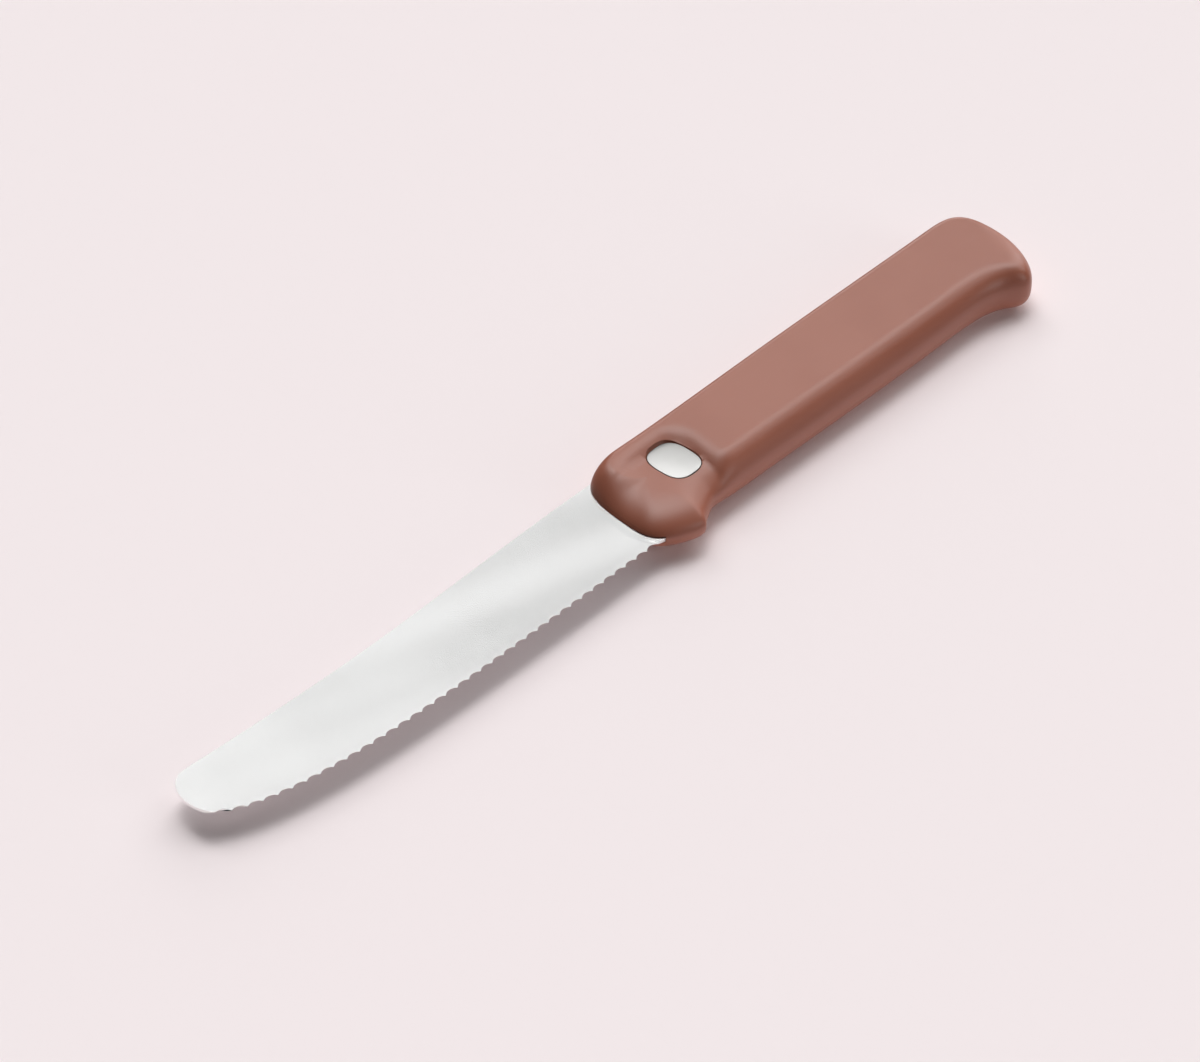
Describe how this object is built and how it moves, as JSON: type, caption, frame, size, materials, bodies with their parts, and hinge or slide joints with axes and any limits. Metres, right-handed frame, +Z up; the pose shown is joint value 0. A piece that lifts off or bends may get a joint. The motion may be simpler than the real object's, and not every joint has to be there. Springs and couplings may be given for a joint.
{
  "type": "serrated vegetable knife",
  "caption": "Small fixed-blade vegetable knife with a blunt-tipped, wave-serrated blade, a moulded handle with finger guard and hooked butt, and a plain metal badge in a thumb dish.",
  "frame": {"origin": "below the middle of the whole knife, on the plane that it lies on (its right side down)", "axes": "+X along the knife from the blade's tip to the pommel, +Y from the cutting edge to the spine, +Z up through the left face, on which the badge lies"},
  "size_m": [0.2238, 0.0256, 0.011],
  "materials": {
    "blade_steel": "satin, finely ground stainless steel",
    "core_plastic": "hard brown plastic, not seen",
    "handle_plastic": "satin terracotta-brown moulded plastic",
    "badge_metal": "fine satin, plain",
    "adhesive": "soft adhesive film, not seen"
  },
  "bodies": {
    "root": {"blade": "blade_steel", "handle_core": "core_plastic", "handle_skin": "handle_plastic", "badge": "badge_metal", "badge_adhesive": "adhesive"}
  },
  "joints": []
}
